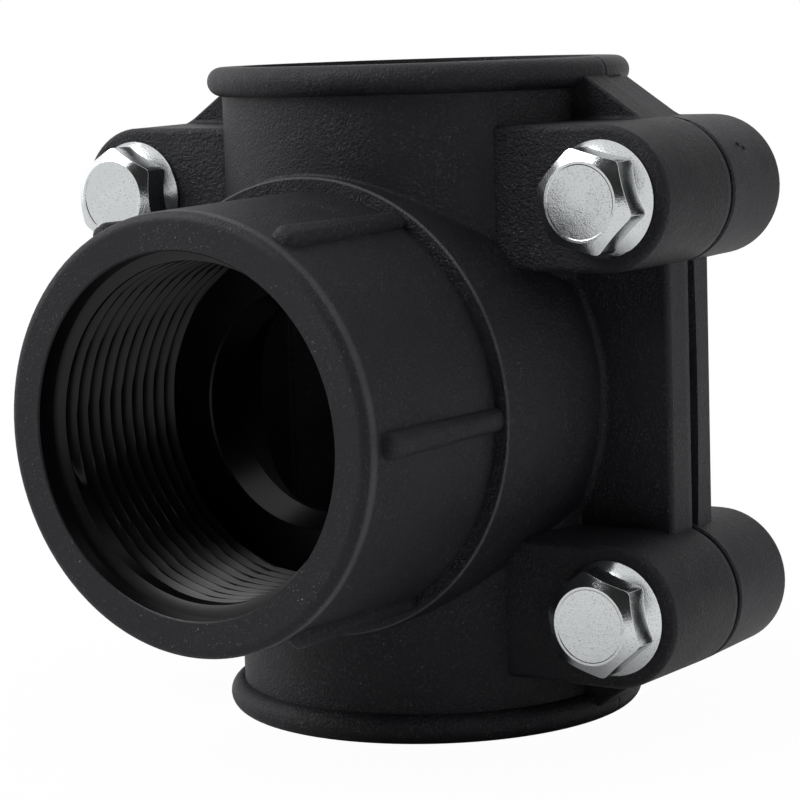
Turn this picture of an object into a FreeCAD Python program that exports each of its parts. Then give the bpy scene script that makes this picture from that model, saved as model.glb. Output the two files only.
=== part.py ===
import FreeCAD, Part
import math
import os

# Tapping saddle for a plastic pressure pipe: a moulded front half with a female
# threaded branch, a moulded back half, a port seal, and four bolts with nuts.
# Millimetres. Z is the pipe axis, the branch points along -Y, and the origin is
# where the two axes meet.

# Pipe bore and barrel
pipe_diameter = 50.0
pipe_clearance = 0.1
barrel_wall = 2.9
barrel_height = 92.5
bead_radius = 2.05

# Parting between the two halves
front_mating_y = 1.2
parting_gap = 0.9
barrel_gap = 0.3
flange_relief = 0.9
flange_bow = 0.45

# Side flanges and their gussets
front_flange_thickness = 5.6
back_flange_thickness = 5.4
flange_past_bolt = 3.1
flange_edge_round = 0.8
gusset_lead = 2.0
gusset_edge_round = 0.45
lug_foot_fillet = 0.6
front_gusset_drop = 2.55
front_gusset_foot = 0.3
back_gusset_drop = 2.9
back_gusset_foot = 0.6

# Bolt lugs
bolt_past_barrel = 11.0
bolt_from_rim = 18.35
lug_radius = 10.0
lug_draft = 0.25
lug_overlap = 8.0
front_lug_depth = 17.7
back_lug_depth = 15.2
front_lug_round = 0.9
back_lug_round = 1.5
lug_edge_break = 0.25
bolt_hole_clearance = 0.5

# Branch for a BSP parallel 1 1/2 inch thread, bored to the thread's root
thread_root_radius = 23.9
branch_length = 28.7
branch_wall = 5.1
branch_taper = 0.5
lip_round = 1.4
mouth_chamfer = 0.2
shelf_floor = 2.0
port_radius = 16.4
port_throat_radius = 15.0
port_edge_break = 0.25

# Collar between barrel and branch
collar_step = 2.0
collar_draft = 0.25
collar_lead = 0.8
collar_edge_break = 0.3
web_fillet = 0.95

# Grip ribs along the branch
rib_count = 6
rib_setback = 2.6
rib_front_slant = 0.9
rib_height = 1.75
rib_front_width = 4.0
rib_back_width = 3.6
rib_side_lean = 0.4
rib_edge_round = 1.3

# Strengthening ribs round the back half
back_rib_height = 3.5
back_rib_thickness = 3.0
back_rib_count = 4

# Port seal in its groove
port_wall = 2.4
seal_width = 4.0
seal_groove_depth = 2.8
seal_clearance = 0.1

# Bolts: M8 hexagon flange bolts
bolt_radius = 4.0
bolt_past_nut = 1.5
bolt_tip_chamfer = 0.8
head_flange_radius = 7.9
head_flange_rim = 0.4
head_flange_cone = 1.3
head_height = 5.8
head_across_flats = 12.73
head_corner_trim = 0.15
head_top_inset = 1.05
chamfer_angle = 30.0
bolt_turns = {
    "upper_right": 45.9,
    "lower_right": 41.0,
    "upper_left": 32.9,
    "lower_left": 52.0,
}

# Nuts and their pockets
nut_across_flats = 13.0
nut_height = 6.5
nut_face_inset = 0.4
nut_bore_clearance = 0.05
nut_pocket_depth = 6.8
nut_pocket_clearance = 0.1

# Worked out from the sizes above
bore_radius = pipe_diameter / 2 + pipe_clearance
barrel_radius = bore_radius + barrel_wall
half_height = barrel_height / 2
back_mating_y = front_mating_y + parting_gap
back_barrel_y = front_mating_y + barrel_gap
front_flange_y = front_mating_y - front_flange_thickness
back_flange_y = back_mating_y + back_flange_thickness
bolt_x = barrel_radius + bolt_past_barrel
flange_half_width = bolt_x + flange_past_bolt
gusset_x = barrel_radius + gusset_lead
bolt_z = half_height - bolt_from_rim
lug_inner_x = barrel_radius - lug_overlap
lug_front_y = front_mating_y - front_lug_depth
lug_back_y = back_mating_y + back_lug_depth
branch_lip_radius = thread_root_radius + branch_wall
branch_root_radius = branch_lip_radius + branch_taper
collar_radius = branch_root_radius + collar_step
collar_front_y = -(barrel_radius + collar_lead)
collar_foot_fillet = 0.9 * (collar_lead - collar_edge_break)
branch_front_y = collar_front_y - branch_length
shelf_y = -(barrel_radius + shelf_floor)
rib_front_y = branch_front_y + rib_setback
rib_back_y = collar_front_y + collar_edge_break
rib_top_radius = branch_lip_radius + rib_height
seal_inner_radius = port_radius + port_wall
seal_outer_radius = seal_inner_radius + seal_width
groove_floor_radius = bore_radius + seal_groove_depth
bolt_hole_radius = bolt_radius + bolt_hole_clearance
pocket_floor_y = lug_back_y - nut_pocket_depth
nut_back_y = pocket_floor_y + nut_height
chamfer_slope = math.tan(math.radians(chamfer_angle))
bolt_tip_y = nut_back_y + bolt_past_nut
reach = barrel_height + branch_length + 2 * barrel_radius

bolt_places = {
    "upper_right": (bolt_x, bolt_z),
    "upper_left": (-bolt_x, bolt_z),
    "lower_right": (bolt_x, -bolt_z),
    "lower_left": (-bolt_x, -bolt_z),
}

tolerance = 0.001
contact_tolerance = 0.01
origin = FreeCAD.Vector(0, 0, 0)
x_axis = FreeCAD.Vector(1, 0, 0)
y_axis = FreeCAD.Vector(0, 1, 0)
z_axis = FreeCAD.Vector(0, 0, 1)


def line(start, end):
    return Part.LineSegment(start, end).toShape()


def arc(start, middle, end):
    return Part.Arc(start, middle, end).toShape()


def polygon_face(points):
    return Part.Face(Part.makePolygon(points + [points[0]]))


def fuse_all(shapes):
    return shapes[0].multiFuse(shapes[1:]).removeSplitter()


def cylinder_y(radius, start_y, end_y, x=0.0, z=0.0):
    """Cylinder along +Y from start_y to end_y, centred on (x, z)."""
    base = FreeCAD.Vector(x, start_y, z)
    return Part.makeCylinder(radius, end_y - start_y, base, y_axis)


def hexagon_prism(across_flats, start_y, end_y, x, z, corner_angle):
    """Hexagonal prism along +Y; corner_angle turns one corner from +X towards +Z."""
    corner_radius = across_flats / math.sqrt(3)
    corners = []
    for index in range(6):
        angle = math.radians(corner_angle + 60 * index)
        corner_x = x + corner_radius * math.cos(angle)
        corner_z = z + corner_radius * math.sin(angle)
        corners.append(FreeCAD.Vector(corner_x, start_y, corner_z))
    return polygon_face(corners).extrude(y_axis * (end_y - start_y))


def revolve_about_y(edges, x=0.0, z=0.0):
    """Solid from a closed (radius, y) section turned about the Y line through (x, z)."""
    solid = Part.Face(Part.Wire(edges)).revolve(origin, y_axis, 360)
    solid.translate(FreeCAD.Vector(x, 0, z))
    return solid


def closed_lines(points):
    """Edges of the closed polygon through (radius, y) points."""
    corners = [FreeCAD.Vector(radius, y, 0) for radius, y in points]
    following = corners[1:] + corners[:1]
    return [line(start, end) for start, end in zip(corners, following)]


def lies_at_y(edge, y):
    """Whether the whole edge lies in the plane square to Y at one y."""
    box = edge.BoundBox
    return abs(box.YMin - y) < tolerance and abs(box.YMax - y) < tolerance


def slab(start_y, end_y):
    """Everything between two planes square to Y."""
    corner = FreeCAD.Vector(-reach, start_y, -reach)
    return Part.makeBox(2 * reach, end_y - start_y, 2 * reach, corner)


def barrel_blank():
    """Barrel turned about Z with a half-round bead along each rim, still solid inside."""
    bead_z = half_height - bead_radius
    bead_tip = barrel_radius + bead_radius
    top = FreeCAD.Vector(barrel_radius, 0, half_height)
    top_tip = FreeCAD.Vector(bead_tip, 0, bead_z)
    top_foot = FreeCAD.Vector(barrel_radius, 0, bead_z - bead_radius)
    low_foot = FreeCAD.Vector(barrel_radius, 0, bead_radius - bead_z)
    low_tip = FreeCAD.Vector(bead_tip, 0, -bead_z)
    low = FreeCAD.Vector(barrel_radius, 0, -half_height)
    low_axis = FreeCAD.Vector(0, 0, -half_height)
    top_axis = FreeCAD.Vector(0, 0, half_height)
    edges = [
        line(top_axis, top),
        arc(top, top_tip, top_foot),
        line(top_foot, low_foot),
        arc(low_foot, low_tip, low),
        line(low, low_axis),
        line(low_axis, top_axis),
    ]
    return Part.Face(Part.Wire(edges)).revolve(origin, z_axis, 360)


def flange_plate(mating_y, face_y, outline):
    """Right-hand flange through (x, z) points, its long outer edge rounded."""
    corners = [FreeCAD.Vector(x, mating_y, z) for x, z in outline]
    plate = polygon_face(corners).extrude(y_axis * (face_y - mating_y))
    outer = [edge for edge in plate.Edges
             if lies_at_y(edge, face_y) and edge.BoundBox.XMin > flange_half_width - tolerance]
    return plate.makeFillet(flange_edge_round, outer)


def flange_strip(mating_y, face_y):
    """The plain length of a flange between its two bolts."""
    return flange_plate(mating_y, face_y, [
        (lug_inner_x, bolt_z),
        (flange_half_width, bolt_z),
        (flange_half_width, -bolt_z),
        (lug_inner_x, -bolt_z),
    ])


def gusseted_flange(mating_y, face_y, gusset_drop, gusset_foot):
    """Flange with a sloping gusset past each lug."""
    gusset_z = half_height - gusset_drop
    foot_z = bolt_z + lug_radius - gusset_foot
    return flange_plate(mating_y, face_y, [
        (lug_inner_x, gusset_z),
        (gusset_x, gusset_z),
        (bolt_x, foot_z),
        (flange_half_width, bolt_z),
        (flange_half_width, -bolt_z),
        (bolt_x, -foot_z),
        (gusset_x, -gusset_z),
        (lug_inner_x, -gusset_z),
    ])


def both_sides(shape):
    """The shape and its mirror image across the YZ plane."""
    return [shape, shape.mirror(origin, x_axis)]


def lug(mating_y, end_y, end_round):
    """Upper right lug: a tongue with a round end, drafted, its end face rounded."""
    end_radius = lug_radius - lug_draft
    depth = abs(end_y - mating_y)
    centre = FreeCAD.Vector(bolt_x, mating_y, bolt_z)
    pull = FreeCAD.Vector(0, end_y - mating_y, 0)
    round_end = Part.makeCone(lug_radius, end_radius, depth, centre, pull)
    tongue = polygon_face([
        FreeCAD.Vector(lug_inner_x, mating_y, bolt_z - lug_radius),
        FreeCAD.Vector(lug_inner_x, mating_y, bolt_z + lug_radius),
        FreeCAD.Vector(lug_inner_x, end_y, bolt_z + end_radius),
        FreeCAD.Vector(lug_inner_x, end_y, bolt_z - end_radius),
    ]).extrude(x_axis * (bolt_x - lug_inner_x))
    solid = fuse_all([round_end, tongue])
    rounded = [edge for edge in solid.Edges
               if lies_at_y(edge, end_y) and edge.BoundBox.XMax > lug_inner_x + tolerance]
    return solid.makeFillet(end_round, rounded)


def lug_edge_cut(mating_y, end_y):
    """Ring that breaks the upper right lug's round edge where the halves face each other."""
    inward = math.copysign(2 * lug_edge_break, end_y - mating_y)
    ring = revolve_about_y(closed_lines([
        (lug_radius - lug_edge_break, mating_y),
        (lug_radius + lug_edge_break, mating_y),
        (lug_radius + lug_edge_break, mating_y + inward),
    ]), bolt_x, bolt_z)
    corner = FreeCAD.Vector(flange_half_width, -reach, -reach)
    return ring.common(Part.makeBox(reach, 2 * reach, 2 * reach, corner))


def lugs_on_flange(plate, mating_y, face_y, end_y, end_round):
    """Flange with its two lugs, filleted where they meet, its sloping edges rounded."""
    upper = lug(mating_y, end_y, end_round)
    solid = fuse_all([plate, upper, upper.mirror(origin, z_axis)])
    feet = [edge for edge in solid.Edges
            if not lies_at_y(edge, mating_y)
            and all(is_on_lug_side(point, mating_y, end_y) and is_within(point.y, mating_y, face_y)
                    for point in edge.discretize(5))]
    solid = solid.makeFillet(lug_foot_fillet, feet)
    sloping = [edge for edge in solid.Edges
               if lies_at_y(edge, face_y) and abs(edge.BoundBox.XMin - gusset_x) < tolerance]
    solid = solid.makeFillet(gusset_edge_round, sloping)
    edge_cut = lug_edge_cut(mating_y, end_y)
    return solid.cut([edge_cut, edge_cut.mirror(origin, z_axis)])


def collar_and_branch():
    """Collar and branch turned about Y, still solid inside."""
    collar_back_radius = collar_radius + collar_draft
    lip_y = branch_front_y + lip_round
    lip_middle = lip_round * (1 - math.sqrt(0.5))
    axis_front = FreeCAD.Vector(0, branch_front_y, 0)
    lip_front = FreeCAD.Vector(branch_lip_radius - lip_round, branch_front_y, 0)
    lip_corner = FreeCAD.Vector(branch_lip_radius - lip_middle, branch_front_y + lip_middle, 0)
    lip_side = FreeCAD.Vector(branch_lip_radius, lip_y, 0)
    root = FreeCAD.Vector(branch_root_radius, collar_front_y, 0)
    collar_face = FreeCAD.Vector(collar_radius - collar_edge_break, collar_front_y, 0)
    collar_side = FreeCAD.Vector(collar_radius, collar_front_y + collar_edge_break, 0)
    collar_back = FreeCAD.Vector(collar_back_radius, 0, 0)
    return revolve_about_y([
        line(axis_front, lip_front),
        arc(lip_front, lip_corner, lip_side),
        line(lip_side, root),
        line(root, collar_face),
        line(collar_face, collar_side),
        line(collar_side, collar_back),
        line(collar_back, origin),
        line(origin, axis_front),
    ])


def is_within(value, one_end, other_end):
    return min(one_end, other_end) - tolerance < value < max(one_end, other_end) + tolerance


def is_on_lug_side(point, mating_y, end_y):
    """Whether a point lies on the flat upper or lower side of a lug."""
    share = (point.y - mating_y) / (end_y - mating_y)
    side = abs(abs(point.z) - bolt_z)
    return abs(side - (lug_radius - lug_draft * share)) < contact_tolerance and point.x < bolt_x


def collar_radius_at(y):
    """Collar radius at one y, with its draft."""
    share = (y - collar_front_y) / (0 - collar_front_y)
    return collar_radius + collar_draft * share


def is_on_collar_side(point):
    away = math.hypot(point.x, point.z) - collar_radius_at(point.y)
    return abs(away) < contact_tolerance and point.y > rib_back_y + tolerance


def is_on_barrel(point):
    return abs(math.hypot(point.x, point.y) - barrel_radius) < contact_tolerance


def fillet_collar_foot(solid):
    """Fillets where the collar meets the flange plates, and smaller ones on the barrel."""
    on_plates = [edge for edge in solid.Edges
                 if lies_at_y(edge, front_flange_y)
                 and all(is_on_collar_side(point) for point in edge.discretize(5))]
    solid = solid.makeFillet(web_fillet, on_plates)
    on_barrel = [edge for edge in solid.Edges
                 if all(is_on_collar_side(point) and is_on_barrel(point)
                        for point in edge.discretize(5))]
    return solid.makeFillet(collar_foot_fillet, on_barrel)


def rib_half_width(y):
    """Half the width of a rib's foot at one y."""
    share = (y - rib_front_y) / (rib_back_y - rib_front_y)
    return (rib_front_width + (rib_back_width - rib_front_width) * share) / 2


def grip_rib():
    """Rib along the branch at +X: tapered, its front end sloped, its edges rounded."""
    foot_radius = branch_lip_radius - lip_round
    profile = [
        (foot_radius, rib_front_y, 0),
        (rib_top_radius, rib_front_y + rib_front_slant, rib_side_lean),
        (rib_top_radius, rib_back_y, rib_side_lean),
        (foot_radius, rib_back_y, 0),
    ]
    high = [FreeCAD.Vector(x, y, rib_half_width(y) - lean) for x, y, lean in profile]
    low = [FreeCAD.Vector(x, y, lean - rib_half_width(y)) for x, y, lean in profile]
    faces = [polygon_face(high), polygon_face(low)]
    for index in range(len(profile)):
        faces.append(polygon_face([high[index - 1], high[index], low[index], low[index - 1]]))
    rib = Part.makeSolid(Part.makeShell(faces))
    rounded = []
    for edge in rib.Edges:
        ahead_of_back = edge.BoundBox.YMin < rib_back_y - tolerance
        reaches_top = edge.BoundBox.XMax > rib_top_radius - tolerance
        if ahead_of_back and reaches_top:
            rounded.append(edge)
    return rib.makeFillet(rib_edge_round, rounded)


def grip_ribs():
    rib = grip_rib()
    ribs = []
    for index in range(rib_count):
        turned = rib.copy()
        turned.rotate(origin, y_axis, 360 / rib_count * index)
        ribs.append(turned)
    return ribs


def branch_hollow():
    """Mouth, bore at the thread's root, shelf and tapering port, turned about Y."""
    return revolve_about_y(closed_lines([
        (0, branch_front_y),
        (thread_root_radius + mouth_chamfer, branch_front_y),
        (thread_root_radius, branch_front_y + mouth_chamfer),
        (thread_root_radius, shelf_y),
        (port_radius + port_edge_break, shelf_y),
        (port_radius, shelf_y + port_edge_break),
        (port_throat_radius, -bore_radius),
        (port_throat_radius, 0),
        (0, 0),
    ]))


def seal_ring(inner_radius, outer_radius, near_pipe, far_from_pipe):
    """Ring about Y that follows the pipe: the part of a tube wall between two radii."""
    ring = cylinder_y(outer_radius, -reach, 0).cut(cylinder_y(inner_radius, -reach, 0))
    base = FreeCAD.Vector(0, 0, -half_height)
    shell = Part.makeCylinder(far_from_pipe, barrel_height, base, z_axis)
    core = Part.makeCylinder(near_pipe, barrel_height, base, z_axis)
    return ring.common(shell).cut(core)


def saddle_body():
    """Front half: barrel, flanges, lugs, collar, branch, ribs, then every hollow."""
    front_barrel = barrel_blank().common(slab(-reach, front_mating_y))
    strip = flange_strip(front_mating_y, front_flange_y)
    core = fuse_all([front_barrel, collar_and_branch()] + both_sides(strip))
    core = fillet_collar_foot(core)
    plate = gusseted_flange(front_mating_y, front_flange_y, front_gusset_drop, front_gusset_foot)
    side = lugs_on_flange(plate, front_mating_y, front_flange_y, lug_front_y, front_lug_round)
    body = fuse_all([core] + both_sides(side) + grip_ribs())
    groove = seal_ring(
        seal_inner_radius - seal_clearance,
        seal_outer_radius + seal_clearance,
        bore_radius / 2,
        groove_floor_radius,
    )
    return body.cut([pipe_bore(), branch_hollow(), groove] + bolt_holes())


def pipe_bore():
    base = FreeCAD.Vector(0, 0, -half_height)
    return Part.makeCylinder(bore_radius, barrel_height, base, z_axis)


def bolt_holes():
    return [cylinder_y(bolt_hole_radius, lug_front_y, lug_back_y, x, z)
            for x, z in bolt_places.values()]


def nut_pockets():
    across = nut_across_flats + 2 * nut_pocket_clearance
    return [hexagon_prism(across, pocket_floor_y, lug_back_y, x, z, 0)
            for x, z in bolt_places.values()]


def back_ribs():
    """Discs round the barrel, spaced evenly from the lower bolts to the upper ones."""
    radius = barrel_radius + back_rib_height
    pitch = 2 * bolt_z / (back_rib_count - 1)
    ribs = []
    for index in range(back_rib_count):
        middle_z = pitch * index - bolt_z
        base = FreeCAD.Vector(0, 0, middle_z - back_rib_thickness / 2)
        ribs.append(Part.makeCylinder(radius, back_rib_thickness, base, z_axis))
    return ribs


def flange_relief_arc():
    """Bowed relief that takes a back flange away from the front half between the lugs."""
    half_span = bolt_z - lug_radius
    radius = (half_span ** 2 + flange_bow ** 2) / (2 * flange_bow)
    centre_y = back_mating_y + flange_relief + flange_bow - radius
    start = FreeCAD.Vector(lug_inner_x, centre_y, 0)
    return Part.makeCylinder(radius, reach, start, x_axis)


def lug_setback():
    """Block that sets the right-hand lugs and the flange between them back from the barrel."""
    span = bolt_z + lug_radius
    corner = FreeCAD.Vector(barrel_radius, front_mating_y, -span)
    return Part.makeBox(reach, back_mating_y - front_mating_y, 2 * span, corner)


def clamp_half():
    """Back half: barrel, flanges, lugs and ribs, with nut pockets from behind."""
    behind = slab(back_barrel_y, reach)
    round_parts = fuse_all([barrel_blank()] + back_ribs()).common(behind)
    plate = gusseted_flange(back_barrel_y, back_flange_y, back_gusset_drop, back_gusset_foot)
    plate = plate.cut([lug_setback(), flange_relief_arc()])
    side = lugs_on_flange(plate, back_mating_y, back_flange_y, lug_back_y, back_lug_round)
    body = fuse_all([round_parts] + both_sides(side))
    return body.cut([pipe_bore()] + bolt_holes() + nut_pockets())


def port_seal():
    return seal_ring(
        seal_inner_radius,
        seal_outer_radius,
        bore_radius + seal_clearance / 2,
        groove_floor_radius - seal_clearance / 2,
    )


def bolt(x, z, turn):
    """Hexagon flange bolt, its head on the lug's front face."""
    rim_y = lug_front_y - head_flange_rim
    cone_y = rim_y - head_flange_cone
    top_y = lug_front_y - head_height
    corner_radius = head_across_flats / math.sqrt(3) - head_corner_trim
    top_radius = head_across_flats / 2 - head_top_inset
    chamfer_height = (corner_radius - top_radius) * chamfer_slope
    flange = revolve_about_y(closed_lines([
        (0, lug_front_y),
        (head_flange_radius, lug_front_y),
        (head_flange_radius, rim_y),
        (head_across_flats / 2, cone_y),
        (0, cone_y),
    ]), x, z)
    envelope = revolve_about_y(closed_lines([
        (0, lug_front_y),
        (corner_radius, lug_front_y),
        (corner_radius, top_y + chamfer_height),
        (top_radius, top_y),
        (0, top_y),
    ]), x, z)
    hexagon = hexagon_prism(head_across_flats, top_y, lug_front_y, x, z, turn)
    shank = revolve_about_y(closed_lines([
        (0, lug_front_y),
        (bolt_radius, lug_front_y),
        (bolt_radius, bolt_tip_y - bolt_tip_chamfer),
        (bolt_radius - bolt_tip_chamfer, bolt_tip_y),
        (0, bolt_tip_y),
    ]), x, z)
    return fuse_all([flange, hexagon.common(envelope), shank])


def nut(x, z):
    """Hexagon nut against its pocket's floor, chamfered on both faces."""
    corner_radius = nut_across_flats / math.sqrt(3)
    face_radius = nut_across_flats / 2 - nut_face_inset
    chamfer = (corner_radius - face_radius) * chamfer_slope
    envelope = revolve_about_y(closed_lines([
        (0, pocket_floor_y),
        (face_radius, pocket_floor_y),
        (corner_radius, pocket_floor_y + chamfer),
        (corner_radius, nut_back_y - chamfer),
        (face_radius, nut_back_y),
        (0, nut_back_y),
    ]), x, z)
    hexagon = hexagon_prism(nut_across_flats, pocket_floor_y, nut_back_y, x, z, 0)
    bore = cylinder_y(bolt_radius + nut_bore_clearance, pocket_floor_y, nut_back_y, x, z)
    return hexagon.common(envelope).cut(bore)


def build():
    nodes = {
        "saddle_body": saddle_body(),
        "clamp_half": clamp_half(),
        "port_seal": port_seal(),
    }
    for place, (x, z) in bolt_places.items():
        nodes["bolt_" + place] = bolt(x, z, bolt_turns[place])
        nodes["nut_" + place] = nut(x, z)
    return nodes


os.makedirs("parts", exist_ok=True)
for name, shape in build().items():
    print(name, "valid", shape.isValid(), "solids", len(shape.Solids), "volume", round(shape.Volume, 1))
    shape.exportStep("parts/" + name + ".step")
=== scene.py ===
import math

import bmesh
import bpy
from mathutils import Matrix, Vector


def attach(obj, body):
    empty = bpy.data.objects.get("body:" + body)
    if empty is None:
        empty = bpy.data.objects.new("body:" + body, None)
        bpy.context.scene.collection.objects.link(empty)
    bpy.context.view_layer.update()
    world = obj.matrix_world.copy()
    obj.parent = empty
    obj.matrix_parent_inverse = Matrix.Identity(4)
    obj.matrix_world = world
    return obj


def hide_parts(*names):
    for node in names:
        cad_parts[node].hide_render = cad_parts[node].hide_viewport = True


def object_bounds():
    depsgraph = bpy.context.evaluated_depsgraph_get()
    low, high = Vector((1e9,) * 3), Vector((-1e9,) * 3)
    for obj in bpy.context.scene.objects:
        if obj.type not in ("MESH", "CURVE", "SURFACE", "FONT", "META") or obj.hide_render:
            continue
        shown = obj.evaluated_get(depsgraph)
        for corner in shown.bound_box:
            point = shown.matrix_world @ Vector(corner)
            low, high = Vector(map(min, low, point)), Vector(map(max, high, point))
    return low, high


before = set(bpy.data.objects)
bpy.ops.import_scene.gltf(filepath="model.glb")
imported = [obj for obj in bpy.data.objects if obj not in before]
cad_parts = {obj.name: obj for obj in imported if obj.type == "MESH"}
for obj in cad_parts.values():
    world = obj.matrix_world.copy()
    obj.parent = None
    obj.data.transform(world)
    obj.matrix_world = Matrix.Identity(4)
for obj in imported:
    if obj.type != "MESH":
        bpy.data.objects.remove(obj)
cad_low, cad_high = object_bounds()

MM = 0.001

# Camera, from the photograph's edges
CAMERA_PLACE = Vector((217.662, -329.573, 50.641)) * MM
CAMERA_YAW = math.radians(34.030)
CAMERA_PITCH = math.radians(-7.653)
CAMERA_ROLL = math.radians(-1.843)
CAMERA_LENS = 123.762
CAMERA_SENSOR = 36.0

# Branch: lip, bore and collar, as in the solids
LIP_RADIUS = 28.98 * MM
LIP_ROUND = 1.4 * MM
MOUTH_Y = cad_low.y
BORE_MARGIN = 0.1 * MM
BORE_BACK_Y = -20.0 * MM
SHELF_Y = -30.0 * MM
COLLAR_RADIUS = 31.5 * MM
COLLAR_FRONT_Y = -28.8 * MM

# Branch thread, BSP parallel 1 1/2 inch, inside the solids' plain bore
THREAD_PITCH = 2.309 * MM
THREAD_DEPTH = 1.46 * MM
THREAD_ROOT_RADIUS = 23.88 * MM
THREAD_SKIN_RADIUS = 23.92 * MM
THREAD_START_ANGLE = math.radians(205.0)
THREAD_START_Y = -53.731 * MM
THREAD_FADE = math.radians(14.0)
THREAD_LEAD_IN = 0.77 * MM
THREAD_SIDES = 240
THREAD_ROWS_PER_PITCH = 16
BLUNT_SHARE = 0.12

# Bolts: M8 hexagon flange bolts, heads towards -Y. Each has its side of X and of Z, and
# the angle of a corner of its head in degrees.
BOLT_X = 39.0 * MM
BOLT_Z = 27.9 * MM
BOLT_PLACES = {
    "upper_right": (1, 1, 45.9),
    "lower_right": (1, -1, 41.0),
    "upper_left": (-1, 1, 32.9),
    "lower_left": (-1, -1, 52.0),
}
HEAD_TOP_Y = -22.3 * MM
HEAD_SEAT_Y = -16.5 * MM
HEAD_HALF_FLATS = 6.365 * MM
HEAD_CORNER_RADIUS = 7.2 * MM
HEAD_FACE_RADIUS = 5.315 * MM
HEAD_DISH_RADIUS = 4.95 * MM
HEAD_DISH_FLOOR_RADIUS = 4.87 * MM
HEAD_DISH_DEPTH = 0.06 * MM
HEAD_EDGE_BEVEL = 0.03 * MM
HEAD_BEVEL_SEGMENTS = 2
HEAD_SHARP_ANGLE = math.radians(24.0)
HEAD_CHAMFER_SLOPE = math.tan(math.radians(30.0))
FLANGE_RADIUS = 7.88 * MM
FLANGE_CONE_Y = -18.2 * MM
FLANGE_RIM_Y = -16.9 * MM
FLANGE_ROUND = 0.12 * MM
SHANK_RADIUS = 3.99 * MM
SHANK_THREAD_Y = 7.0 * MM
SHANK_TIP_Y = 18.5 * MM
SHANK_TIP_CHAMFER = 0.8 * MM
BOLT_PITCH = 1.25 * MM
BOLT_THREAD_DEPTH = 0.76 * MM
BOLT_THREAD_STEP = 0.125 * MM
BOLT_SIDES = 96

# Nut threads, inside the solids' plain bores
NUT_FRONT_Y = 10.5 * MM
NUT_BACK_Y = 17.0 * MM
NUT_BORE_RADIUS = 4.04 * MM
NUT_SKIN_RADIUS = 4.07 * MM
NUT_THREAD_CLEARANCE = 0.08 * MM
NUT_COUNTERSINK = 0.6 * MM

# Gate mark on the back half's upper right lug: each nub's place along Y and turn round the lug
LUG_RADIUS = 10.0 * MM
GATE_ANGLE = math.radians(37.4)
GATE_NUB_RADIUS = 0.35 * MM
GATE_NUB_HEIGHT = 0.16 * MM
GATE_NUBS = [(7.3 * MM, 0.0), (8.3 * MM, 0.07)]

# Noise textures: scale, detail, roughness
MOULDING_CLOUD = (45.0, 5.0, 0.6)
MOULDING_PATCHES = (130.0, 3.0, 0.6)
COARSE_NOISE = (2100.0, 2.0, 0.55)
FINE_NOISE = (2900.0, 2.0, 0.6)
DUST_NOISE = (2300.0, 2.0, 0.6)
FLECK_NOISE = (3800.0, 1.0, 0.5)
RUBBER_CLOUD = (120.0, 3.0, 0.5)
ZINC_CLOUD = (260.0, 5.0, 0.6)
PIT_NOISE = (4600.0, 2.0, 0.6)
SCRATCH_NOISE = (420.0, 3.0, 0.7)
FLOOR_CLOUD = (3.0, 3.0, 0.5)
CLOUD_RANGE = (0.3, 0.7)

# Black moulding: colours and how far they reach
MOULDING_COLOURS = ((0.0080, 0.0079, 0.0105), (0.0110, 0.0108, 0.0145))
MOULDING_ROUGHNESS = (0.50, 0.60)
MOULDING_SHINE = 0.24
# Painted shade: the base colour in the bore is darkened towards black, as if in shadow
BORE_PAINTED_SHADE = (0.001, 0.001, 0.0012)
BORE_SHADE_SHARE = 0.8
BORE_SMOOTHER = 0.24
BACK_DUST = (0.034, 0.034, 0.039)
BACK_DUST_Y = (0.0, 0.5 * MM)
BACK_DUST_LEAST = 0.65
BROAD_PATCHES = (0.35, 0.65)
# Painted highlight: a pale band on the branch's lip round and on the collar's front edge
PAINTED_EDGE_HIGHLIGHT = (0.085, 0.085, 0.090)
EDGE_HIGHLIGHT_LEAST = 0.5
LIP_HIGHLIGHT_START = (0.45 * LIP_ROUND, 0.75 * LIP_ROUND)
LIP_HIGHLIGHT_END = (1.20 * LIP_ROUND, 1.65 * LIP_ROUND)
COLLAR_HIGHLIGHT_RADIUS = (COLLAR_RADIUS - 0.36 * MM, COLLAR_RADIUS - 0.18 * MM)
COLLAR_HIGHLIGHT_MARGIN = 0.3 * MM
COLLAR_HIGHLIGHT_END = (COLLAR_FRONT_Y + 0.18 * MM, COLLAR_FRONT_Y + 0.39 * MM)
GRAIN_DUST = (0.075, 0.075, 0.080)
GRAIN_DUST_RANGE = (0.52, 0.70)
GRAIN_DUST_SHARE = 0.45
GRAIN_DUST_LEAST = 0.4
FLECK = (0.24, 0.24, 0.245)
FLECK_RANGE = (0.71, 0.79)
FLECK_SHARE = 0.9
FLECK_LEAST = 0.2
MIDDLE_PATCHES = (0.4, 0.6)

# Black moulding's grain: coarse on the front faces beside the barrel, up to the lugs' roots
COARSE_GRAIN = 0.42 * MM
COARSE_X_START = (22.0 * MM, 23.5 * MM)
COARSE_X_END = (28.0 * MM, 36.0 * MM)
COARSE_Y_END = (-15.8 * MM, -15.3 * MM)
COARSE_Z_START = (18.0 * MM, 20.0 * MM)
COARSE_Z_END = 41.0 * MM
HALF_HEIGHT_Z = (-1.0 * MM, 1.0 * MM)
COARSE_BELOW = 0.4
FINE_GRAIN = 0.30 * MM
FINE_PATCHES = (0.38, 0.62)
FINE_LEAST = 0.45
MOUTH_FACE_Y = (-57.3 * MM, -56.8 * MM)
MOUTH_FACE_SHARE = 0.35

# Seal rubber
RUBBER_COLOURS = ((0.010, 0.010, 0.010), (0.018, 0.018, 0.018))
RUBBER_ROUGHNESS = (0.6, 0.75)
RUBBER_SHINE = 0.25

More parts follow.
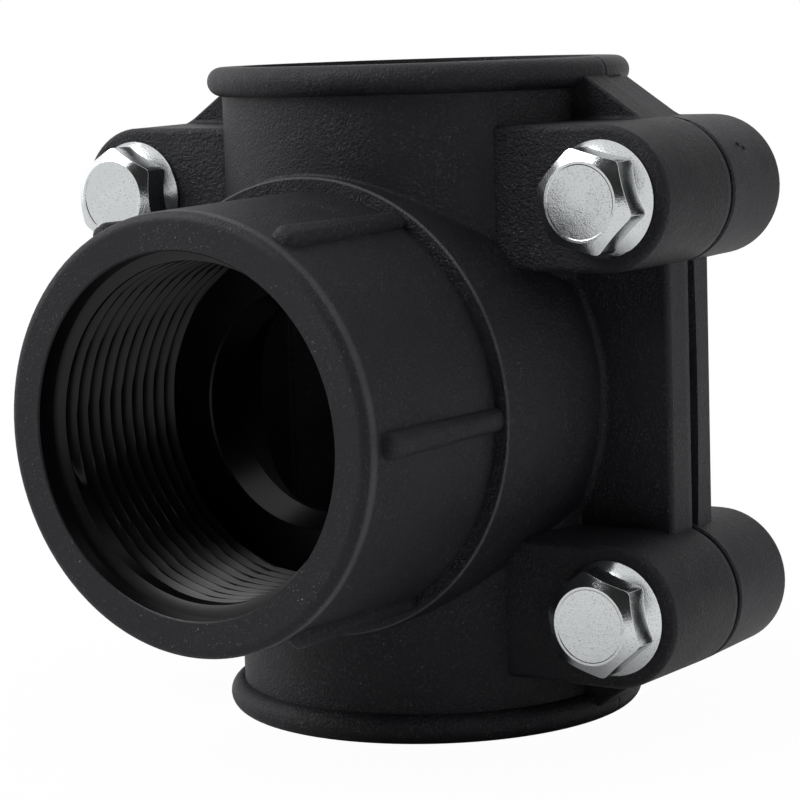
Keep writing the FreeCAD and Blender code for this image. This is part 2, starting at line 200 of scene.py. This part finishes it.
# Zinc plating
ZINC_COLOURS = ((0.56, 0.58, 0.59), (0.63, 0.645, 0.65))
ZINC_ROUGHNESS = (0.12, 0.22)
PITTED_RANGE = (0.42, 0.56)
PITTED_LEAST = 0.45
PIT_COLOUR = (0.22, 0.23, 0.235)
PIT_RANGE = (0.56, 0.68)
PIT_SHARE = 0.6
PIT_DEPTH = 0.02 * MM
SCRATCH_TURN = (0.0, 0.6, 0.0)
SCRATCH_STRETCH = (1.0, 1.0, 14.0)
SCRATCH_DEPTH = 0.002 * MM

# Studio: a white room, darkest towards the camera's side and dimmed behind on the right. Each
# edge is a pair of cosines from the side's direction, and each level the room's light past it.
WHITE = (1.0, 1.0, 1.0, 1.0)
DARK_SIDE = (0.20, -0.91, 0.36)
DARK_EDGE = (0.70, 0.88)
DARK_LEVEL = 0.03
DIM_SIDE = (0.49, 0.85, 0.18)
DIM_EDGE = (0.80, 0.97)
DIM_LEVEL = 0.3
ROOM_DIFFUSE = 0.35

# Lamps: place, target, size in metres, and power
LAMPS = {
    "key_softbox": ((-0.45, -0.44, 0.62), (0.0, -0.02, 0.0), (0.60, 0.60), 6.0),
    "right_softbox": ((0.85, 0.20, 0.25), (0.0, 0.0, 0.0), (0.40, 0.60), 0.3),
    "left_softbox": ((-0.80, -0.05, 0.15), (0.0, 0.0, 0.0), (0.40, 0.60), 0.5),
}

# Floor: pale under the lamps, with a white glow for rays that see or mirror it, less by the object
FLOOR_REACH = 3.0
FLOOR_COLOURS = ((0.80, 0.80, 0.80), (0.84, 0.84, 0.84))
FLOOR_ROUGHNESS = 0.9
SEEN_FADE = (40.0 * MM, 120.0 * MM)
SEEN_LEAST = 0.975
MIRROR_CENTRE = (0.0, -30.0 * MM, 0.0)
MIRROR_FADE = (35.0 * MM, 85.0 * MM)
MIRROR_LEAST = 0.15
BARREL_FOOT_RADIUS = 31.0 * MM


class Nodes:
    """A node tree, with a call for each kind of node that is used here."""

    def __init__(self, tree):
        self.tree = tree

    def add(self, kind):
        return self.tree.nodes.new(kind)

    def feed(self, socket, value):
        """Link an output to a socket, or set the socket to a plain value."""
        if isinstance(value, bpy.types.NodeSocket):
            self.tree.links.new(value, socket)
        else:
            socket.default_value = value

    def noise(self, place, texture):
        scale, detail, roughness = texture
        node = self.add("ShaderNodeTexNoise")
        self.feed(node.inputs["Vector"], place)
        self.feed(node.inputs["Scale"], scale)
        self.feed(node.inputs["Detail"], detail)
        self.feed(node.inputs["Roughness"], roughness)
        return node.outputs["Fac"]

    def span(self, value, reach, low=0.0, high=1.0):
        """Map a range of a value to low and high, clamped."""
        node = self.add("ShaderNodeMapRange")
        self.feed(node.inputs["Value"], value)
        self.feed(node.inputs["From Min"], reach[0])
        self.feed(node.inputs["From Max"], reach[1])
        self.feed(node.inputs["To Min"], low)
        self.feed(node.inputs["To Max"], high)
        return node.outputs["Result"]

    def maths(self, operation, *values):
        node = self.add("ShaderNodeMath")
        node.operation = operation
        for socket, value in zip(node.inputs, values):
            self.feed(socket, value)
        return node.outputs[0]

    def product(self, first, *others):
        for other in others:
            first = self.maths("MULTIPLY", first, other)
        return first

    def measure(self, operation, *vectors):
        """Number from vectors: a length, a distance or a dot product."""
        node = self.add("ShaderNodeVectorMath")
        node.operation = operation
        for socket, value in zip(node.inputs, vectors):
            self.feed(socket, value)
        return node.outputs["Value"]

    def two_colours(self, cloud, colours):
        """Blend of two plain colours across the clouds of a noise."""
        node = self.add("ShaderNodeValToRGB")
        for element, position, colour in zip(node.color_ramp.elements, CLOUD_RANGE, colours):
            element.position = position
            element.color = (*colour, 1.0)
        self.feed(node.inputs["Fac"], cloud)
        return node.outputs["Color"]

    def cover(self, base, share, colour):
        """Lay a share of a plain colour over a base."""
        node = self.add("ShaderNodeMix")
        node.data_type = "RGBA"
        self.feed(node.inputs["Factor"], share)
        self.feed(node.inputs["A"], base)
        self.feed(node.inputs["B"], (*colour, 1.0))
        return node.outputs["Result"]

    def bump(self, height, distance, normal=None):
        node = self.add("ShaderNodeBump")
        self.feed(node.inputs["Strength"], 1.0)
        self.feed(node.inputs["Distance"], distance)
        self.feed(node.inputs["Height"], height)
        if normal is not None:
            self.feed(node.inputs["Normal"], normal)
        return node.outputs["Normal"]

    def seen_directly(self, path):
        """1 for the camera's rays and for rays that come through glass."""
        return self.maths("MAXIMUM", path["Is Camera Ray"], path["Is Transmission Ray"])


class Paint(Nodes):
    """A node material in the object's own coordinates."""

    def __init__(self, name):
        self.material = bpy.data.materials.new(name)
        self.material.use_nodes = True
        super().__init__(self.material.node_tree)
        self.shader = self.tree.nodes["Principled BSDF"].inputs
        self.place = self.add("ShaderNodeTexCoord").outputs["Object"]

    def parts(self):
        """Outputs for X, Y and Z, and for the distance from the branch's axis."""
        split = self.add("ShaderNodeSeparateXYZ")
        self.feed(split.inputs[0], self.place)
        flat = self.add("ShaderNodeVectorMath")
        flat.operation = "MULTIPLY"
        self.feed(flat.inputs[0], self.place)
        self.feed(flat.inputs[1], (1.0, 0.0, 1.0))
        away = self.measure("LENGTH", flat.outputs["Vector"])
        return split.outputs["X"], split.outputs["Y"], split.outputs["Z"], away


def painted_edge_highlights(paint, y, away):
    """1 on the branch's lip round and the collar's front edge, where a highlight is painted."""
    past_mouth = paint.maths("SUBTRACT", y, MOUTH_Y)
    lip = paint.product(
        paint.maths("GREATER_THAN", away, LIP_RADIUS - LIP_ROUND),
        paint.span(past_mouth, LIP_HIGHLIGHT_START),
        paint.span(past_mouth, LIP_HIGHLIGHT_END, 1.0, 0.0),
    )
    collar = paint.product(
        paint.span(away, COLLAR_HIGHLIGHT_RADIUS),
        paint.maths("LESS_THAN", away, COLLAR_RADIUS + COLLAR_HIGHLIGHT_MARGIN),
        paint.maths("GREATER_THAN", y, COLLAR_FRONT_Y - COLLAR_HIGHLIGHT_MARGIN),
        paint.span(y, COLLAR_HIGHLIGHT_END, 1.0, 0.0),
    )
    return paint.maths("MAXIMUM", lip, collar)


def moulding_grain(paint, x, y, z, patches, outside, off_mouth):
    """Normal of the eroded grain: coarse beside the barrel on the front, fine in patches elsewhere."""
    sideways = paint.maths("ABSOLUTE", x)
    level = paint.maths("ABSOLUTE", z)
    coarse = paint.product(
        paint.noise(paint.place, COARSE_NOISE),
        paint.span(sideways, COARSE_X_START),
        paint.span(sideways, COARSE_X_END, 1.0, 0.0),
        paint.span(y, COARSE_Y_END, 1.0, 0.0),
        paint.span(level, COARSE_Z_START),
        paint.maths("LESS_THAN", level, COARSE_Z_END),
        paint.span(z, HALF_HEIGHT_Z, COARSE_BELOW, 1.0),
    )
    fine = paint.product(
        paint.noise(paint.place, FINE_NOISE),
        paint.span(patches, FINE_PATCHES, FINE_LEAST, 1.0),
        outside,
        off_mouth,
    )
    return paint.bump(fine, FINE_GRAIN, paint.bump(coarse, COARSE_GRAIN))


def black_moulding():
    """Black polypropylene: smoother and with painted shade in the bore, dusty behind, with painted
    highlights on the lip round and the collar's front edge.
    """
    paint = Paint("black_moulding")
    x, y, z, away = paint.parts()
    cloud = paint.noise(paint.place, MOULDING_CLOUD)
    patches = paint.noise(paint.place, MOULDING_PATCHES)
    off_mouth = paint.span(y, MOUTH_FACE_Y, MOUTH_FACE_SHARE, 1.0)
    in_bore = paint.product(
        paint.maths("LESS_THAN", away, THREAD_ROOT_RADIUS + BORE_MARGIN),
        paint.maths("LESS_THAN", y, BORE_BACK_Y),
    )

    back_dust = paint.product(
        paint.span(y, BACK_DUST_Y),
        paint.span(patches, BROAD_PATCHES, BACK_DUST_LEAST, 1.0),
    )
    # Painted highlight on the lip round and the collar's front edge
    edge_highlight = paint.product(
        painted_edge_highlights(paint, y, away),
        paint.span(patches, BROAD_PATCHES, EDGE_HIGHLIGHT_LEAST, 1.0),
    )
    grain_dust = paint.product(
        paint.span(paint.noise(paint.place, DUST_NOISE), GRAIN_DUST_RANGE, 0.0, GRAIN_DUST_SHARE),
        paint.span(patches, MIDDLE_PATCHES, GRAIN_DUST_LEAST, 1.0),
        off_mouth,
    )
    flecks = paint.product(
        paint.span(paint.noise(paint.place, FLECK_NOISE), FLECK_RANGE, 0.0, FLECK_SHARE),
        paint.span(patches, MIDDLE_PATCHES, FLECK_LEAST, 1.0),
    )
    base = paint.two_colours(cloud, MOULDING_COLOURS)
    base = paint.cover(base, back_dust, BACK_DUST)
    base = paint.cover(base, edge_highlight, PAINTED_EDGE_HIGHLIGHT)
    base = paint.cover(base, grain_dust, GRAIN_DUST)
    base = paint.cover(base, flecks, FLECK)
    # Painted shade in the bore
    base = paint.cover(base, paint.product(in_bore, BORE_SHADE_SHARE), BORE_PAINTED_SHADE)
    paint.feed(paint.shader["Base Color"], base)

    rough = paint.span(cloud, CLOUD_RANGE, *MOULDING_ROUGHNESS)
    rough = paint.maths("SUBTRACT", rough, paint.product(in_bore, BORE_SMOOTHER))
    paint.feed(paint.shader["Roughness"], rough)
    paint.feed(paint.shader["Specular IOR Level"], MOULDING_SHINE)
    outside = paint.maths("SUBTRACT", 1.0, in_bore)
    normal = moulding_grain(paint, x, y, z, patches, outside, off_mouth)
    paint.feed(paint.shader["Normal"], normal)
    return paint.material


def seal_rubber():
    paint = Paint("seal_rubber")
    cloud = paint.noise(paint.place, RUBBER_CLOUD)
    paint.feed(paint.shader["Base Color"], paint.two_colours(cloud, RUBBER_COLOURS))
    paint.feed(paint.shader["Roughness"], paint.span(cloud, CLOUD_RANGE, *RUBBER_ROUGHNESS))
    paint.feed(paint.shader["Specular IOR Level"], RUBBER_SHINE)
    return paint.material


def zinc_steel():
    """Bright zinc plating, pitted in patches, with stretched scratches."""
    paint = Paint("zinc_steel")
    cloud = paint.noise(paint.place, ZINC_CLOUD)
    pitted = paint.span(cloud, PITTED_RANGE, PITTED_LEAST, 1.0)
    pits = paint.noise(paint.place, PIT_NOISE)
    pit_share = paint.product(paint.span(pits, PIT_RANGE, 0.0, PIT_SHARE), pitted)
    base = paint.cover(paint.two_colours(cloud, ZINC_COLOURS), pit_share, PIT_COLOUR)
    paint.feed(paint.shader["Base Color"], base)
    paint.feed(paint.shader["Metallic"], 1.0)
    paint.feed(paint.shader["Roughness"], paint.span(cloud, CLOUD_RANGE, *ZINC_ROUGHNESS))

    stretch = paint.add("ShaderNodeMapping")
    paint.feed(stretch.inputs["Rotation"], SCRATCH_TURN)
    paint.feed(stretch.inputs["Scale"], SCRATCH_STRETCH)
    paint.feed(stretch.inputs["Vector"], paint.place)
    scratches = paint.noise(stretch.outputs["Vector"], SCRATCH_NOISE)
    normal = paint.bump(paint.product(pits, pitted), PIT_DEPTH)
    normal = paint.bump(scratches, SCRATCH_DEPTH, normal)
    paint.feed(paint.shader["Normal"], normal)
    return paint.material


def dress(node_object, dressed):
    node_object.data.materials.clear()
    node_object.data.materials.append(dressed)


def smooth(piece):
    for polygon in piece.data.polygons:
        polygon.use_smooth = True


def new_piece(name, work):
    mesh = bpy.data.meshes.new(name)
    work.to_mesh(mesh)
    work.free()
    piece = bpy.data.objects.new(name, mesh)
    bpy.context.scene.collection.objects.link(piece)
    return piece


def lathe(name, rings, sharp_angle=math.radians(30.0), closed=False):
    """Mesh through rings of equal counts; one point closes an end, closed joins last to first."""
    work = bmesh.new()
    rows = [[work.verts.new(point) for point in ring_of_points] for ring_of_points in rings]
    if closed:
        rows.append(rows[0])
    for row, following in zip(rows, rows[1:]):
        count = max(len(row), len(following))
        for column in range(count):
            after = (column + 1) % count
            if len(row) == 1:
                corners = (row[0], following[after], following[column])
            elif len(following) == 1:
                corners = (row[column], row[after], following[0])
            else:
                corners = (row[column], row[after], following[after], following[column])
            work.faces.new(corners)
    bmesh.ops.recalc_face_normals(work, faces=work.faces)
    piece = new_piece(name, work)
    smooth(piece)
    piece.data.set_sharp_from_angle(angle=sharp_angle)
    return piece


def ring(axis, radius_at, y_at):
    """Points round an axis along Y, which is given by its sides, X, Z and turn."""
    sides, x, z, turn = axis
    points = []
    for column in range(sides):
        angle = 2 * math.pi * column / sides
        radius = radius_at(angle)
        place = angle + turn
        points.append((x + radius * math.cos(place), y_at(angle, radius), z + radius * math.sin(place)))
    return points


def level_ring(axis, y, radius_at):
    """Ring at one height, its radius a function of the height and the angle."""
    return ring(axis, lambda angle: radius_at(y, angle), lambda angle, reached: y)


def circle(axis, radius, y):
    return ring(axis, lambda angle: radius, lambda angle, reached: y)


def thread_height(offset, pitch, depth):
    """Height of a 55 degree thread ridge at an offset from its crest, blunt at crest and root."""
    blunt = BLUNT_SHARE * pitch
    away = abs((offset + pitch / 2) % pitch - pitch / 2)
    share = (away - blunt / 2) / (pitch / 2 - blunt)
    share = min(max(share, 0.0), 1.0)
    return depth * (1.0 - share)


def turn_from(start_angle, angle):
    """Share of a turn from the start angle, clockwise seen from the branch mouth."""
    return ((start_angle - angle) / (2 * math.pi)) % 1.0


def branch_radius(y, angle):
    """Radius of the branch's thread, which starts at full height and fades into its first ridge."""
    turn = turn_from(THREAD_START_ANGLE, angle)
    offset = y - THREAD_START_Y - THREAD_PITCH * turn
    if offset < 0:
        height = THREAD_DEPTH
    else:
        height = thread_height(offset, THREAD_PITCH, THREAD_DEPTH)
    if 0 <= offset < THREAD_PITCH:
        fade = min(1.0, turn * 2 * math.pi / THREAD_FADE)
        height = THREAD_DEPTH - (THREAD_DEPTH - height) * fade
    return THREAD_ROOT_RADIUS - height


def branch_thread():
    """Right-hand thread in the branch: lead-in cone, then ridges, as one closed skin."""
    axis = (THREAD_SIDES, 0.0, 0.0, 0.0)
    length = SHELF_Y - THREAD_START_Y
    rows = int(length / THREAD_PITCH * THREAD_ROWS_PER_PITCH)
    cone_y = THREAD_START_Y - THREAD_LEAD_IN
    rings = [circle(axis, THREAD_ROOT_RADIUS, cone_y)]
    for row in range(rows + 1):
        rings.append(level_ring(axis, THREAD_START_Y + length * row / rows, branch_radius))
    rings.append(circle(axis, THREAD_SKIN_RADIUS, SHELF_Y))
    rings.append(circle(axis, THREAD_SKIN_RADIUS, cone_y))
    piece = lathe("branch_thread", rings, closed=True)
    piece.data.materials.append(MOULDING)
    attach(piece, "saddle")


def bolt_axis(place):
    side, level, degrees = BOLT_PLACES[place]
    return BOLT_SIDES, side * BOLT_X, level * BOLT_Z, math.radians(degrees)


def head_side(angle):
    """Radius of the head's hexagon, with a corner at angle 0 and its corners trimmed round."""
    to_flat = angle % (math.pi / 3) - math.pi / 6
    return min(HEAD_HALF_FLATS / math.cos(to_flat), HEAD_CORNER_RADIUS)


def chamfer_y(angle, radius):
    """Height of the head's chamfer, which scallops its flats."""
    return HEAD_TOP_Y + (radius - HEAD_FACE_RADIUS) * HEAD_CHAMFER_SLOPE


def flange_y(angle, radius):
    """Height of the flange's cone where the hexagon meets it."""
    share = (radius - HEAD_HALF_FLATS) / (FLANGE_RADIUS - HEAD_HALF_FLATS)
    return FLANGE_CONE_Y + (FLANGE_RIM_Y - FLANGE_CONE_Y) * share


def bolt_groove(y, angle):
    """How deep the bolt's thread is cut at a height and an angle."""
    offset = y - BOLT_PITCH * turn_from(0.0, angle)
    return BOLT_THREAD_DEPTH - thread_height(offset, BOLT_PITCH, BOLT_THREAD_DEPTH)


def bolt_radius(y, angle):
    """Radius of the bolt's threaded end, chamfered at its tip."""
    cap = SHANK_RADIUS - max(0.0, SHANK_TIP_CHAMFER - (SHANK_TIP_Y - y))
    fade = min(1.0, (y - SHANK_THREAD_Y) / BOLT_PITCH)
    return min(cap, SHANK_RADIUS - bolt_groove(y, angle) * fade)


def nut_radius(y, angle):
    """Radius of the nut's thread, its ridges in the bolt's grooves and faded at both faces."""
    from_face = min(y - NUT_FRONT_Y, NUT_BACK_Y - y)
    fade = min(1.0, from_face / NUT_COUNTERSINK)
    reach = SHANK_RADIUS + NUT_THREAD_CLEARANCE - bolt_groove(y, angle) * fade
    return min(reach, NUT_BORE_RADIUS)


def bolt_rings(axis):
    """Rings of a flange bolt from the middle of its head to its tip."""
    _, x, z, _ = axis
    dish_y = HEAD_TOP_Y + HEAD_DISH_DEPTH
    rings = [
        [(x, dish_y, z)],
        circle(axis, HEAD_DISH_FLOOR_RADIUS, dish_y),
        circle(axis, HEAD_DISH_RADIUS, HEAD_TOP_Y),
        circle(axis, HEAD_FACE_RADIUS, HEAD_TOP_Y),
        ring(axis, head_side, chamfer_y),
        ring(axis, head_side, flange_y),
        circle(axis, FLANGE_RADIUS - FLANGE_ROUND, FLANGE_RIM_Y - FLANGE_ROUND / 2),
        circle(axis, FLANGE_RADIUS, FLANGE_RIM_Y + FLANGE_ROUND),
        circle(axis, FLANGE_RADIUS, HEAD_SEAT_Y - FLANGE_ROUND),
        circle(axis, FLANGE_RADIUS - FLANGE_ROUND, HEAD_SEAT_Y),
        circle(axis, SHANK_RADIUS, HEAD_SEAT_Y),
        circle(axis, SHANK_RADIUS, SHANK_THREAD_Y),
    ]
    rows = round((SHANK_TIP_Y - SHANK_THREAD_Y) / BOLT_THREAD_STEP)
    for row in range(1, rows + 1):
        rings.append(level_ring(axis, SHANK_THREAD_Y + BOLT_THREAD_STEP * row, bolt_radius))
    rings.append([(x, SHANK_TIP_Y, z)])
    return rings


def nut_thread_rings(axis):
    """Closed skin in a nut's bore."""
    rows = round((NUT_BACK_Y - NUT_FRONT_Y) / BOLT_THREAD_STEP)
    rings = []
    for row in range(rows + 1):
        rings.append(level_ring(axis, NUT_FRONT_Y + BOLT_THREAD_STEP * row, nut_radius))
    rings.append(circle(axis, NUT_SKIN_RADIUS, NUT_BACK_Y))
    rings.append(circle(axis, NUT_SKIN_RADIUS, NUT_FRONT_Y))
    return rings


def bolts():
    for place in BOLT_PLACES:
        piece = lathe(place + "_bolt_detail", bolt_rings(bolt_axis(place)), HEAD_SHARP_ANGLE)
        soften = piece.modifiers.new("soften", "BEVEL")
        soften.width = HEAD_EDGE_BEVEL
        soften.segments = HEAD_BEVEL_SEGMENTS
        soften.limit_method = "ANGLE"
        soften.angle_limit = HEAD_SHARP_ANGLE
        piece.data.materials.append(ZINC)
        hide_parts("bolt_" + place)
        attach(piece, place + "_bolt")


def nut_threads():
    for place in BOLT_PLACES:
        piece = lathe(place + "_nut_thread", nut_thread_rings(bolt_axis(place)), closed=True)
        piece.data.materials.append(ZINC)
        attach(piece, "clamp")


def gate_mark():
    """Two small nubs where the back half was filled, on the upper right lug's round."""
    work = bmesh.new()
    out = Vector((math.cos(GATE_ANGLE), 0.0, math.sin(GATE_ANGLE)))
    squash = Matrix.Diagonal((1.0, 1.0, GATE_NUB_HEIGHT / GATE_NUB_RADIUS)).to_4x4()
    for along, around in GATE_NUBS:
        direction = Matrix.Rotation(around, 3, "Y") @ out
        centre = Vector((BOLT_X, along, BOLT_Z)) + direction * LUG_RADIUS
        face = direction.to_track_quat("Z", "Y").to_matrix().to_4x4()
        place = Matrix.Translation(centre) @ face @ squash
        bmesh.ops.create_icosphere(work, subdivisions=3, radius=GATE_NUB_RADIUS, matrix=place)
    piece = new_piece("gate_mark", work)
    smooth(piece)
    piece.data.materials.append(MOULDING)
    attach(piece, "clamp")


def make_camera():
    forward = Vector((
        -math.sin(CAMERA_YAW) * math.cos(CAMERA_PITCH),
        math.cos(CAMERA_YAW) * math.cos(CAMERA_PITCH),
        math.sin(CAMERA_PITCH),
    ))
    level = Vector((math.cos(CAMERA_YAW), math.sin(CAMERA_YAW), 0.0))
    upright = level.cross(forward)
    right = level * math.cos(CAMERA_ROLL) + upright * math.sin(CAMERA_ROLL)
    up = upright * math.cos(CAMERA_ROLL) - level * math.sin(CAMERA_ROLL)
    data = bpy.data.cameras.new("camera")
    data.lens = CAMERA_LENS
    data.sensor_width = CAMERA_SENSOR
    camera = bpy.data.objects.new("camera", data)
    turn = Matrix((right, up, -forward)).transposed().to_4x4()
    camera.matrix_world = Matrix.Translation(CAMERA_PLACE) @ turn
    bpy.context.scene.collection.objects.link(camera)
    bpy.context.scene.camera = camera


def make_world():
    """White where the camera sees it, and for the object a studio with a dark camera side."""
    world = bpy.data.worlds.new("studio")
    bpy.context.scene.world = world
    world.use_nodes = True
    room = Nodes(world.node_tree)
    background = world.node_tree.nodes["Background"].inputs
    room.feed(background["Color"], WHITE)
    direction = room.add("ShaderNodeTexCoord").outputs["Generated"]
    path = room.add("ShaderNodeLightPath").outputs
    light = room.product(
        room.span(room.measure("DOT_PRODUCT", direction, DARK_SIDE), DARK_EDGE, 1.0, DARK_LEVEL),
        room.span(room.measure("DOT_PRODUCT", direction, DIM_SIDE), DIM_EDGE, 1.0, DIM_LEVEL),
        room.span(path["Is Glossy Ray"], (0.0, 1.0), ROOM_DIFFUSE, 1.0),
    )
    room.feed(background["Strength"], room.maths("MAXIMUM", room.seen_directly(path), light))


def make_floor():
    """Pale floor with a soft contact shadow that fades into the white background."""
    work = bmesh.new()
    bmesh.ops.create_grid(work, x_segments=1, y_segments=1, size=FLOOR_REACH)
    floor = new_piece("floor", work)
    floor.location.z = cad_low.z
    paint = Paint("floor")
    cloud = paint.noise(paint.place, FLOOR_CLOUD)
    paint.feed(paint.shader["Base Color"], paint.two_colours(cloud, FLOOR_COLOURS))
    paint.feed(paint.shader["Roughness"], FLOOR_ROUGHNESS)
    paint.feed(paint.shader["Specular IOR Level"], 0.0)

    path = paint.add("ShaderNodeLightPath").outputs
    from_centre = paint.measure("LENGTH", paint.place)
    from_branch = paint.measure("DISTANCE", paint.place, MIRROR_CENTRE)
    seen = paint.product(paint.seen_directly(path), paint.span(from_centre, SEEN_FADE, SEEN_LEAST, 1.0))
    mirrored = paint.product(
        path["Is Glossy Ray"],
        paint.span(from_branch, MIRROR_FADE, MIRROR_LEAST, 1.0),
        paint.maths("GREATER_THAN", from_centre, BARREL_FOOT_RADIUS),
    )
    glow = paint.add("ShaderNodeEmission")
    paint.feed(glow.inputs["Color"], WHITE)
    blend = paint.add("ShaderNodeMixShader")
    paint.feed(blend.inputs["Fac"], paint.maths("MAXIMUM", seen, mirrored))
    paint.feed(blend.inputs[1], paint.tree.nodes["Principled BSDF"].outputs["BSDF"])
    paint.feed(blend.inputs[2], glow.outputs["Emission"])
    paint.feed(paint.tree.nodes["Material Output"].inputs["Surface"], blend.outputs["Shader"])
    floor.data.materials.append(paint.material)


def make_lights():
    for name, (place, target, size, power) in LAMPS.items():
        data = bpy.data.lights.new(name, "AREA")
        data.shape = "RECTANGLE"
        data.size, data.size_y = size
        data.energy = power
        light = bpy.data.objects.new(name, data)
        light.location = place
        light.rotation_euler = (Vector(target) - Vector(place)).to_track_quat("-Z", "Y").to_euler()
        bpy.context.scene.collection.objects.link(light)


MOULDING = black_moulding()
RUBBER = seal_rubber()
ZINC = zinc_steel()

for name, node_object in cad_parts.items():
    if name.startswith(("bolt", "nut")):
        dress(node_object, ZINC)
    elif name == "port_seal":
        dress(node_object, RUBBER)
    else:
        dress(node_object, MOULDING)

branch_thread()
bolts()
nut_threads()
gate_mark()
make_camera()
make_world()
make_floor()
make_lights()
bpy.context.scene.view_settings.view_transform = "Standard"
